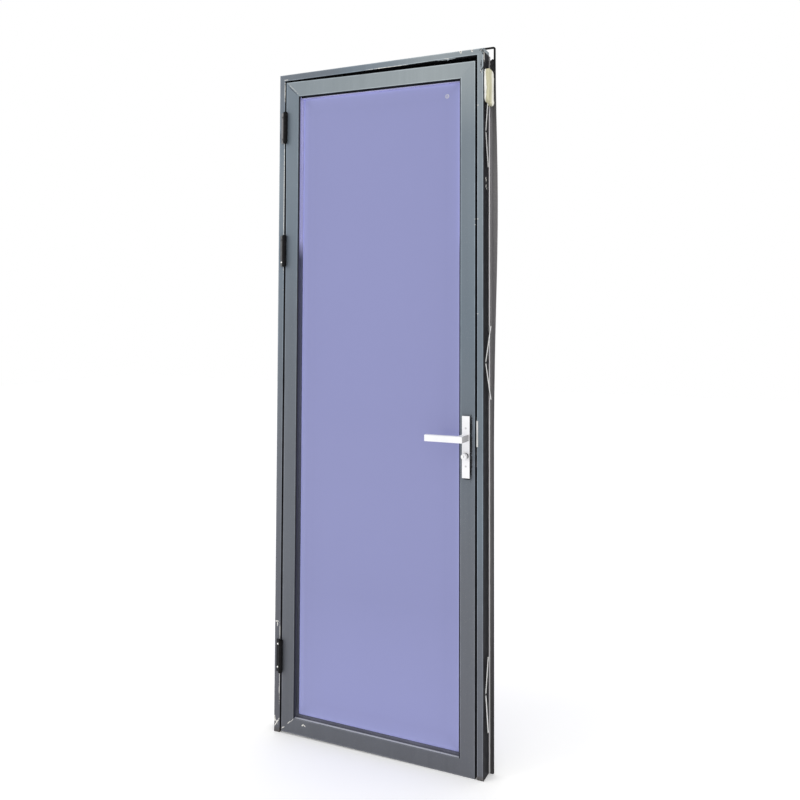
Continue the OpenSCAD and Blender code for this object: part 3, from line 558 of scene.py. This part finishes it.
def wear_and_painted_edge_light(g, bar, colour, inset, width):
    """Painted highlight and painted shade lines along both edges of a bar's face, then its cracks and chips,
    among them painted shadow and highlight.
    """
    outer, inner = (along_bar(g, bar, edge) for edge in GAP_SHADE_LINES[bar])
    from_inner = g.minus(width, inset)
    front = g.below(g.y, FRONT_Y + SKIN)
    # Painted highlight line beside each edge of the face
    near = g.either(g.below(inset, g.plus(outer, EDGE_HIGHLIGHT_W)), g.below(from_inner, g.plus(inner, EDGE_HIGHLIGHT_W)))
    colour = g.mix(g.times(front, near, g.vary(EDGE_HIGHLIGHT_BREAKUP)), colour, g.shade(colour, EDGE_HIGHLIGHT_LIFT))
    # Painted shade line on each edge, standing in for the shade in the gap
    edge = g.either(g.below(inset, outer), g.below(from_inner, inner))
    colour = g.mix(g.times(front, edge), colour, linear(GAP_SHADE))
    marked = g.below(g.y, FRONT_Y + MARK_DEPTH)
    if bar in CRACKS_AND_SHADOWS:
        # Cracks, and on the lock stile painted shadow beside and under the handle plate
        colour = g.mix(g.times(marked, g.marks(CRACKS_AND_SHADOWS[bar])), colour, linear(CRACK_AND_SHADOW))
    # Pale chips and dust, and painted highlight lines along the inner edges of the hinge jamb and the head
    return g.mix(g.times(marked, g.marks(CHIPS_AND_HIGHLIGHTS[bar])), colour, linear(PALE_MARK_AND_HIGHLIGHT))


def finish_paint(g, colour):
    """Satin gloss and the fine orange peel of sprayed paint."""
    g.set(Base_Color=colour, Specular_IOR_Level=PAINT_SHINE, Roughness=g.vary(PAINT_ROUGH))
    g.carve(PAINT_PEEL)
    return g


def leaf_paint(bar, inset_of, reveal):
    """Paint of a leaf bar, with painted shade on its outer edge, and painted light and shade inside the
    glass opening.
    """
    g = Graph(bar + "_paint")
    inset = inset_of(g)
    colour = wear_and_painted_edge_light(g, bar, painted(g, bar), inset, LEAF_FACE)
    side = g.times(g.above(g.y, FRONT_Y + SKIN), g.below(g.y, LEAF_BACK - SKIN))
    # Painted shade on the leaf's outer sides, in the gaps
    colour = g.mix(g.times(side, g.below(inset, SKIN)), colour, linear(REBATE_SHADE))
    near_front, depth, deeper = reveal
    # Painted shade inside the glass opening at the sides and top, painted light at the bottom
    inside = g.mix(g.above(g.y, FRONT_Y + depth), linear(near_front), g.ramp(g.z, deeper))
    colour = g.mix(g.times(side, g.above(inset, LEAF_FACE - SKIN)), colour, inside)
    return finish_paint(g, colour)


def frame_paint(bar, out_of):
    """Frame paint with painted shade in its rebate, its dark outer side, bright ledge and grey flange."""
    g = Graph(bar + "_paint")
    out = out_of(g)
    inset = g.times(out, -1.0)
    colour = wear_and_painted_edge_light(g, bar, painted(g, bar), inset, FRAME_FACE)
    before_back = g.below(g.y, FRAME_BACK - SKIN)
    side = g.times(g.above(g.y, FRONT_Y + SKIN), before_back)
    # Painted shade on the frame's faces inside the gaps
    colour = g.mix(g.times(side, g.above(inset, FRAME_FACE - SKIN)), colour, linear(REBATE_SHADE))
    foot = g.between(g.plus(g.z, g.vary(FOOT_DRIFT)), *FOOT_REACH, 0.0, FOOT_MIX)
    colour = g.mix(foot, colour, linear(FOOT_DIRT))
    outer = g.mix(g.above(g.y, LEDGE_Y), side_colour(g, bar), flange_colour(g, out))
    outside = g.times(g.above(out, -OUTLINE_SKIN), g.below(g.z, SIDE_TOP), before_back)
    finish_paint(g, g.mix(outside, colour, outer))
    g.set(Specular_IOR_Level=g.between(outside, 0.0, 1.0, PAINT_SHINE, SIDE_SHINE))
    return g


def side_colour(g, bar):
    """Dark outer side of the frame, scraped and with a few pale specks on the lock side."""
    colour = g.mix(g.vary(SIDE_SCRAPE), linear(SIDE_DARK), linear(SIDE_SCRAPED))
    if bar != "lock_jamb":
        return colour
    return g.mix(g.marks(SIDE_SPECKS, on_side=True), colour, linear(PALE_MARK_AND_HIGHLIGHT))


def flange_colour(g, out):
    """Bright ledge, then the flange in its own tones, smeared along its length, with painted light that
    changes up the door.
    """
    light = g.times(g.vary(FLANGE_SMEAR), g.ramp(g.z, FLANGE_LIGHT))
    grey = g.shade(g.ramp(out, FLANGE_TONES), light)
    ledge = g.shade(linear(LEDGE), g.times(g.vary(LEDGE_DIRT), g.ramp(g.z, LEDGE_LIGHT)))
    ledge = g.mix(g.below(out, LEDGE_IN), ledge, linear(SIDE_DARK))
    return g.mix(g.above(out, LEDGE_W), ledge, grey)


def metal(name, rgb, rough, stretch):
    """Bare metal with a fine grain along one axis and dull patches."""
    g = Graph(name)
    lines = g.vary(METAL_LINES._replace(stretch=stretch))
    g.set(Base_Color=g.shade(linear(rgb), g.times(lines, g.vary(METAL_DULL))))
    g.set(Metallic=0.7, Roughness=g.vary(rough))
    g.carve(METAL_GRAIN._replace(stretch=stretch))
    return g


def strap_zinc():
    """Galvanised strap, bright on its faces and dull on its cut edges."""
    g = Graph("zinc_strap")
    low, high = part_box("lock_strap_middle")
    edge = g.either(g.below(g.y, low[1] + SKIN), g.above(g.y, high[1] - SKIN))
    colour = g.mix(edge, linear(STRAP_FACE), linear(STRAP_EDGE))
    g.set(Base_Color=g.shade(colour, g.vary(STRAP_SPANGLE)))
    g.set(Metallic=0.5, Roughness=g.vary(STRAP_ROUGH))
    g.carve(METAL_GRAIN)
    return g


def coating(name, shaded_part):
    """White handle coating with faint grime and scratches, and painted shade on one part in its own tone."""
    g = Graph(name)
    colour = g.mix(g.vary(COAT_GRIME), linear(COAT_WHITE), linear(COAT_GRIMY))
    colour = g.mix(g.vary(COAT_SCRATCH), colour, linear(COAT_SCRATCHED))
    # Part that gets painted shade, and its tone
    mask, tone = shaded_part(g)
    g.set(Base_Color=g.mix(mask, colour, linear(tone)), Specular_IOR_Level=0.4)
    g.set(Roughness=g.vary(COAT_ROUGH))
    g.carve(COAT_PEEL)
    return g


def plate_side_shade(node):
    """Sides of a handle plate, behind its outer face, darkened as painted shade."""
    low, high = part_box(node)

    def mask(g):
        if low[1] < FRONT_Y:
            return g.above(g.y, low[1] + SKIN), PLATE_SIDE_SHADE
        return g.below(g.y, high[1] - SKIN), PLATE_SIDE_SHADE

    return mask


def lever_end_shade(g):
    """End of the lever at its neck, greyed as painted shade."""
    return g.above(g.x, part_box("front_lever")[1][0] - SKIN), LEVER_END_SHADE


def cylinder_metal():
    """Satin lock cylinder, pale at its ends, with painted shade next to the handle plates."""
    g = Graph("cylinder_nickel")
    low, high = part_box("cylinder_body")
    front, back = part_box("front_handle_plate")[0][1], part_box("rear_handle_plate")[1][1]
    # Painted shade on the barrel next to the handle plates
    dark = g.times(g.above(g.y, front + BARREL_SHADE * (low[1] - front)),
                   g.below(g.y, back + BARREL_SHADE * (high[1] - back)))
    colour = g.mix(dark, linear(NICKEL), linear(NICKEL_SHADE))
    g.set(Base_Color=g.shade(colour, g.vary(NICKEL_WEAR)))
    g.set(Metallic=0.2, Roughness=g.vary(NICKEL_ROUGH))
    g.carve(NICKEL_TURNED)
    return g


def black_coating(name, plate=None):
    """Black hinge coating, rubbed grey, with the plate on the jamb in its own colour."""
    g = Graph(name)
    colour = g.mix(g.vary(HINGE_RUB), linear(HINGE_BLACK), linear(HINGE_RUBBED))
    if plate:
        on_plate = g.times(g.below(g.x, LEAF_X0 - HINGE_PLATE_BESIDE),
                           g.above(g.y, FRONT_Y - HINGE_PLATE_PROUD))
        colour = g.mix(on_plate, colour, g.shade(linear(plate), g.vary(HINGE_SMEAR)))
    g.set(Base_Color=colour, Specular_IOR_Level=0.15, Roughness=g.vary(HINGE_ROUGH))
    g.carve(HINGE_GRAIN)
    return g


def hinge_screw_metal():
    """Hinge screws: some heads still bright, the others coated."""
    g = Graph("hinge_screw_metal")
    low, high = BRIGHT_BETWEEN
    bright = g.either(g.below(g.z, BRIGHT_BELOW), g.times(g.above(g.z, low), g.below(g.z, high)))
    colour = g.mix(bright, linear(SCREW_COATED), linear(SCREW_BRIGHT))
    g.set(Base_Color=g.shade(colour, g.vary(SCREW_WEAR)))
    g.set(Metallic=0.2, Roughness=g.vary(SCREW_ROUGH))
    return g


def glazing_rubber():
    """Rubber round the glass, with painted shade along the top."""
    g = Graph("glazing_rubber")
    # Painted shade along the top
    top = g.below(g.minus(leaf_line(g, LEAF_TOP), g.z), TOP_SHADE_W)
    return dull_finish(g, g.mix(top, g.ramp(g.z, GASKET), g.ramp(g.z, TOP_SHADE)))


def rubber(name, tones):
    """Rubber or plastic whose tone changes up the door."""
    g = Graph(name)
    return dull_finish(g, g.ramp(g.z, tones))


def dull_finish(g, colour):
    """Dull surface with dust in its pores."""
    g.set(Base_Color=g.shade(colour, g.times(g.vary(RUBBER_DUST), g.vary(RUBBER_WAVE))))
    g.set(Roughness=g.vary(RUBBER_ROUGH), Specular_IOR_Level=0.25)
    g.carve(RUBBER_GRAIN)
    return g


def glass_painted_light(g):
    """Painted light on the pane's front: how much paler it is near its edges, beside the hinge stile and at
    the foot.
    """
    # Painted light that lifts the shade near the opening's edges, beside the hinge stile and at the foot
    edge = g.times(g.ramp(opening_inset(g), GLASS_EDGE_LIGHT), GLASS_EDGE_LIGHT_GAIN)
    beside = g.between(g.minus(g.x, LEAF_X0 + LEAF_FACE), *GLASS_HINGE_LIGHT, 1.0)
    low = g.between(g.z, *GLASS_LOW_LIGHT, 1.0)
    front_y, back_y = (corner[1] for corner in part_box("glass_pane"))
    on_front = g.below(g.y, (front_y + back_y) / 2)
    return g.math("POWER", g.times(edge, beside, low), on_front)


def etched_mark(g):
    """Mask of a plain etched ring with a dot in it."""
    reach = g.reach(STAMP, (STAMP_UNIT, STAMP_UNIT))
    ring = g.times(g.between(reach, *STAMP_OUTSIDE), g.between(reach, *STAMP_INSIDE))
    return g.times(g.either(ring, g.between(reach, *STAMP_DOT)), g.vary(GLASS_SPECK))


def tinted_glass():
    """Lavender pane: body tint with painted light near its edges, polished face, and an etched mark near the
    top corner.
    """
    g = Graph("tinted_glass")
    colour = g.shade(linear(GLASS_RGB), g.times(g.vary(GLASS_CLOUD), glass_painted_light(g)))
    g.set(Base_Color=g.mix(etched_mark(g), colour, linear(ETCHED)))
    g.set(Roughness=g.vary(GLASS_ROUGH), Specular_IOR_Level=0.2)
    g.set(IOR=1.5, Transmission_Weight=GLASS_CLEAR)
    return g


def foam_material():
    """Cured foam: white along the jamb, beige on its cut front and cream outside, with pores and streaks."""
    g = Graph("cured_foam")
    low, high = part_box("foam_lump")
    across = g.between(g.x, low[0], high[0], 0.0, FOAM_FRONT)
    deep = g.between(g.y, low[1], high[1], 0.0, 1.0 - FOAM_FRONT)
    colour = g.ramp(g.plus(g.plus(across, deep), g.vary(FOAM_DRIFT)), FOAM_TONES)
    colour = g.shade(colour, g.vary(FOAM_STREAK))
    g.set(Base_Color=g.mix(g.vary(FOAM_PORES), colour, linear(FOAM_PORE)))
    g.set(Roughness=0.85, Specular_IOR_Level=0.2)
    g.carve(FOAM_GRAIN)
    return g


def dress(names, graph):
    """Gives CAD nodes one material."""
    for name in names:
        slots = nodes[name].data.materials
        slots.clear()
        slots.append(graph.mat)


def dress_frame():
    """Finishes of the jambs and the head."""
    for bar, out_of in (("lock_jamb", jamb_out), ("hinge_jamb", jamb_out), ("head", head_out)):
        dress([bar], frame_paint(bar, out_of))


def dress_leaf():
    """Finishes of the leaf's bars and beads."""
    insets = {
        "hinge_stile": lambda g: g.minus(g.x, LEAF_X0),
        "lock_stile": lambda g: g.minus(LEAF_X1, g.x),
        "top_rail": lambda g: g.minus(leaf_line(g, LEAF_TOP), g.z),
        "bottom_rail": lambda g: g.minus(g.z, leaf_line(g, LEAF_FOOT)),
    }
    for bar, inset_of in insets.items():
        dress([bar], leaf_paint(bar, inset_of, REVEAL_LIGHT_SHADE[bar]))
    bead = Graph("bead_paint")
    finish_paint(bead, painted(bead, "hinge_stile"))
    dress(["bead_bottom", "bead_lock", "bead_top", "bead_hinge"], bead)


def dress_fittings():
    """Finishes of the hinges, lock, handles, straps, glass and seals."""
    for place, rgb in HINGE_PLATES.items():
        dress([f"hinge_{place}_frame_half"], black_coating(f"{place}_hinge_coating", rgb))
    dress([f"hinge_{place}_{half}" for place in HINGE_PLATES for half in ("leaf_half", "pin")],
          black_coating("hinge_coating"))
    dress(["hinge_frame_screws"], hinge_screw_metal())
    dress([name for name in nodes if "_strap_" in name], strap_zinc())
    dress(["strap_screws"], black_coating("strap_screw_coating"))
    dress(["strike_plate", "lock_faceplate", "strike_screws", "faceplate_screws", "hinge_leaf_screws",
           "lock_bolt", "dead_bolt", "lock_case", "lock_hub", "spindle", "frame_corner_cleats",
           "leaf_corner_cleats"], metal("plain_steel", STEEL, STEEL_ROUGH, GRAIN_UP))
    for plate in ("front_handle_plate", "rear_handle_plate"):
        dress([plate], coating(plate + "_coating", plate_side_shade(plate)))
    dress(["front_lever", "rear_lever"], coating("lever_coating", lever_end_shade))
    dress(["handle_bolts"], metal("bolt_nickel", BOLT_NICKEL, BOLT_ROUGH, GRAIN_DEEP))
    dress(["cylinder_body", "key_plug", "thumb_turn"], cylinder_metal())
    dress(["glass_pane"], tinted_glass())
    dress(["front_gasket"], glazing_rubber())
    dress(["rear_gasket", "frame_seal", "setting_blocks"], rubber("seal_rubber", SEALS))
    dress(["edge_strip"], rubber("edging_plastic", EDGING))


def soften_edges(name, radius):
    """Small rounded edges on a sharp solid."""
    modifiers = nodes[name].modifiers
    weld = modifiers.new("weld", "WELD")
    weld.merge_threshold = WELD_NEAR
    merge = modifiers.new("merge_flats", "DECIMATE")
    merge.decimate_type = "DISSOLVE"
    merge.angle_limit = FLAT_ANGLE
    bevel = modifiers.new("round_edges", "BEVEL")
    bevel.width = radius
    bevel.segments = EDGE_SEGMENTS
    bevel.limit_method = "ANGLE"
    bevel.angle_limit = EDGE_ANGLE


def soften_all():
    """Edge radius of each kind of piece."""
    for radius, names in SOFT_EDGES:
        for name in names:
            soften_edges(name, radius)


def new_piece(name, points, faces, graph, body, smooth=True):
    """Mesh piece that rides on a body."""
    mesh = bpy.data.meshes.new(name)
    mesh.from_pydata(points, [], faces)
    mesh.polygons.foreach_set("use_smooth", [smooth] * len(mesh.polygons))
    mesh.materials.append(graph.mat)
    piece = bpy.data.objects.new(name, mesh)
    bpy.context.collection.objects.link(piece)
    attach(piece, body)
    return piece


def rounded(angle, power):
    """Cosine and sine of an angle on a rounded square."""
    c, s = math.cos(angle), math.sin(angle)
    return math.copysign(abs(c) ** (2 / power), c), math.copysign(abs(s) ** (2 / power), s)


def foam_dip(point):
    """How deep the foam's skin dips at a point."""
    ridge = noise.noise(point * Vector(RIDGE_SCALE))
    lump = noise.noise(point * Vector(LUMP_SCALE) + LUMP_SHIFT)
    return FOAM_DIP * max(0.0, DIP_PLAIN + DIP_RIDGE * ridge + DIP_LUMP * lump)


def foam_point(low, high, around, along):
    """Point of the foam's lumpy skin: round its plan, and from its bottom to its top."""
    middle = (low + high) / 2
    half = (high - low) / 2
    plan_x, plan_y = rounded(around, FOAM_SQUARE)
    shrink, rise = rounded(along, FOAM_SQUARE)
    x = middle.x + half.x * plan_x * shrink
    y = middle.y + half.y * plan_y * shrink
    depth = (y - low.y) / (high.y - low.y)
    bottom = low.z + FOAM_SLANT * (1 - depth)
    top = high.z - FOAM_FALL * depth ** 2
    z = (bottom + top) / 2 + rise * (top - bottom) / 2
    point = Vector((x, y, z))
    if plan_x <= FOAM_AT_JAMB or shrink <= FOAM_AT_END:
        return point
    return point - Vector((plan_x, plan_y, 0.0)).normalized() * foam_dip(point)


def make_foam():
    """Lump of cured foam that stands for its plain solid."""
    low, high = (Vector(corner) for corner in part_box("foam_lump"))
    points = []
    for row in range(FOAM_ROWS + 1):
        along = math.pi * (row / FOAM_ROWS - 0.5)
        points += [foam_point(low, high, 2 * math.pi * k / FOAM_ROUND, along) for k in range(FOAM_ROUND)]
    faces = []
    for row in range(FOAM_ROWS):
        for k in range(FOAM_ROUND):
            a, b = row * FOAM_ROUND + k, row * FOAM_ROUND + (k + 1) % FOAM_ROUND
            faces.append((a, b, b + FOAM_ROUND, a + FOAM_ROUND))
    foam = new_piece("foam_skin", points, faces, foam_material(), "frame")
    weld = foam.modifiers.new("close_ends", "WELD")
    weld.merge_threshold = FOAM_WELD
    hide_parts("foam_lump")


def torn_hang(x):
    """How far the torn edge hangs below the head at x."""
    fade = min(1.0, (x - TORN_X0) / TORN_FADE, (TORN_X1 - x) / TORN_FADE)
    ripple = sum((height * math.sin(x * pace) for height, pace in TORN_RIPPLES), start=TORN_HANG)
    burr = BURR_HANG * math.exp(-((x - BURR_X) / BURR_W) ** 2)
    return max(0.0, fade * (ripple + burr))


def torn_section(x):
    """Four corners of the torn edge's section at x."""
    edge = DOOR_H - FRAME_FACE + HEAD_RISE * (x + WALL_X) / (2 * WALL_X)
    hang = torn_hang(x)
    tip, bend, root = edge - hang, TORN_BEND * hang, edge + TORN_ROOT
    return [(x, FRONT_Y - bend, tip), (x, FRONT_Y - TORN_T / 3, root),
            (x, FRONT_Y + TORN_T, root), (x, FRONT_Y + TORN_T - bend, tip)]


def make_torn_edge():
    """Bent burr along the lower edge of the head."""
    steps = range(TORN_STEPS + 1)
    sections = [torn_section(TORN_X0 + (TORN_X1 - TORN_X0) * k / TORN_STEPS) for k in steps]
    points = [corner for section in sections for corner in section]
    corners = len(sections[0])
    faces = []
    for k in range(TORN_STEPS):
        a, b = corners * k, corners * (k + 1)
        faces += [(a + i, b + i, b + (i + 1) % corners, a + (i + 1) % corners) for i in range(corners)]
    ends = range(corners), range(corners * TORN_STEPS, corners * (TORN_STEPS + 1))
    faces += [tuple(ends[0]), tuple(reversed(ends[1]))]
    g = Graph("torn_highlight_paint")
    # The torn edge's paint is made lighter as painted highlight
    finish_paint(g, g.shade(painted(g, "head"), TORN_HIGHLIGHT_LIFT))
    new_piece("torn_edge", points, faces, g, "frame", smooth=False)


def camera_axes():
    """Right, up and forward of the photograph's camera."""
    forward = Vector((-math.sin(CAMERA_YAW) * math.cos(CAMERA_PITCH),
                      math.cos(CAMERA_YAW) * math.cos(CAMERA_PITCH), math.sin(CAMERA_PITCH)))
    level = Vector((math.cos(CAMERA_YAW), math.sin(CAMERA_YAW), 0.0))
    upright = level.cross(forward)
    right = math.cos(CAMERA_ROLL) * level + math.sin(CAMERA_ROLL) * upright
    up = math.cos(CAMERA_ROLL) * upright - math.sin(CAMERA_ROLL) * level
    return right, up, forward


def make_camera():
    """Camera of the photograph."""
    data = bpy.data.cameras.new("camera")
    data.lens = CAMERA_LENS
    data.sensor_width = CAMERA_SENSOR
    data.sensor_fit = "HORIZONTAL"
    data.shift_x, data.shift_y = CAMERA_SHIFT
    data.clip_end = CAMERA_REACH
    camera = bpy.data.objects.new("camera", data)
    right, up, forward = camera_axes()
    axes = Matrix((right, up, -forward)).transposed()
    camera.matrix_world = Matrix.Translation(CAMERA_AT) @ axes.to_4x4()
    bpy.context.collection.objects.link(camera)
    bpy.context.scene.camera = camera


def make_key():
    """Large softbox at the front left."""
    data = bpy.data.lights.new("key", "AREA")
    data.shape = "SQUARE"
    data.size = KEY_SIZE
    data.energy = KEY_WATTS
    light = bpy.data.objects.new("key", data)
    light.location = KEY_AT
    light.rotation_euler = (KEY_AIM - KEY_AT).to_track_quat("-Z", "Y").to_euler()
    bpy.context.collection.objects.link(light)


def make_sky():
    """White sky, a little brighter as a background than as a light."""
    world = bpy.data.worlds.new("studio")
    world.use_nodes = True
    tree = world.node_tree
    sky = tree.nodes["Background"]
    sky.inputs["Color"].default_value = (1.0, 1.0, 1.0, 1.0)
    path = tree.nodes.new("ShaderNodeLightPath")
    level = tree.nodes.new("ShaderNodeMapRange")
    level.inputs["To Min"].default_value = SKY
    tree.links.new(path.outputs["Is Camera Ray"], level.inputs["Value"])
    tree.links.new(level.outputs[0], sky.inputs["Strength"])
    bpy.context.scene.world = world


def make_floor():
    """Pale floor with a little light of its own, so that it is as white as the sky."""
    mesh = bpy.data.meshes.new("floor")
    corners = [(FLOOR_HALF * x, FLOOR_HALF * y, 0) for x, y in ((-1, -1), (1, -1), (1, 1), (-1, 1))]
    mesh.from_pydata(corners, [], [(0, 1, 2, 3)])
    floor = bpy.data.objects.new("floor", mesh)
    bpy.context.collection.objects.link(floor)
    g = Graph("pale_floor")
    g.set(Base_Color=(FLOOR_TONE, FLOOR_TONE, FLOOR_TONE, 1.0), Roughness=0.9, Specular_IOR_Level=0.1)
    g.set(Emission_Color=(1.0, 1.0, 1.0, 1.0), Emission_Strength=FLOOR_GLOW)
    mesh.materials.append(g.mat)


make_camera()
dress_frame()
dress_leaf()
dress_fittings()
soften_all()
make_foam()
make_torn_edge()
bpy.context.scene.view_settings.view_transform = "Standard"
make_sky()
make_key()
make_floor()
